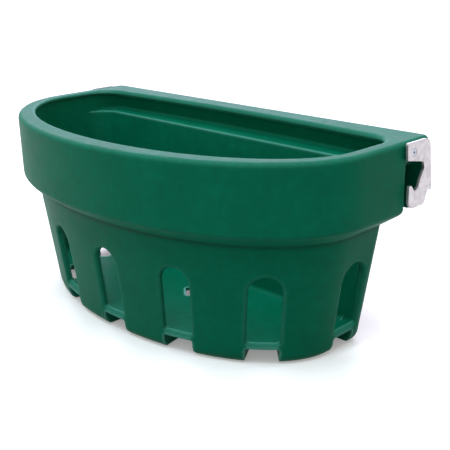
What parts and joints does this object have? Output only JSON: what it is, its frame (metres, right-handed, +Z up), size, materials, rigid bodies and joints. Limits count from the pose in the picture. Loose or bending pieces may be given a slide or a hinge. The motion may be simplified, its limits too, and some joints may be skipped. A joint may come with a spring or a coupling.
{
  "type": "livestock feed trough",
  "caption": "Hook-over D-shaped livestock feed trough in moulded plastic, with a deep rim band, arched slots round the tapered lower body, a rear rail channel and swinging latch plates.",
  "frame": {"origin": "on the ground under the middle of the trough's overall box, with the feet at height 0", "axes": "+X along the trough to the right as seen from the front, +Y towards the flat back with the rail channel, +Z up"},
  "size_m": [0.776, 0.382, 0.3275],
  "materials": {
    "green_polyethylene": "rotationally moulded, semi-gloss with a faint orange-peel texture",
    "galvanised_steel": "hot-dip galvanised, pale satin",
    "zinc_plated_steel": "zinc plated",
    "black_nylon": "moulded",
    "brass": "machined"
  },
  "bodies": {
    "trough": {"trough_shell": "green_polyethylene", "right_pivot_screw": "zinc_plated_steel", "left_pivot_screw": "zinc_plated_steel", "right_spacer_washer": "zinc_plated_steel", "left_spacer_washer": "zinc_plated_steel", "right_friction_washer": "black_nylon", "left_friction_washer": "black_nylon", "right_threaded_insert": "brass", "left_threaded_insert": "brass"},
    "right_latch": {"right_latch_plate": "galvanised_steel"},
    "left_latch": {"left_latch_plate": "galvanised_steel"}
  },
  "joints": [
    {"name": "right_latch_swing", "type": "hinge", "parent": "trough", "child": "right_latch", "pos_m": [0.3855, 0.1344, 0.3114], "axis": [1, 0, 0], "range_deg": [0, 110]},
    {"name": "left_latch_swing", "type": "hinge", "parent": "trough", "child": "left_latch", "pos_m": [-0.3855, 0.1344, 0.3114], "axis": [1, 0, 0], "range_deg": [0, 110]}
  ]
}
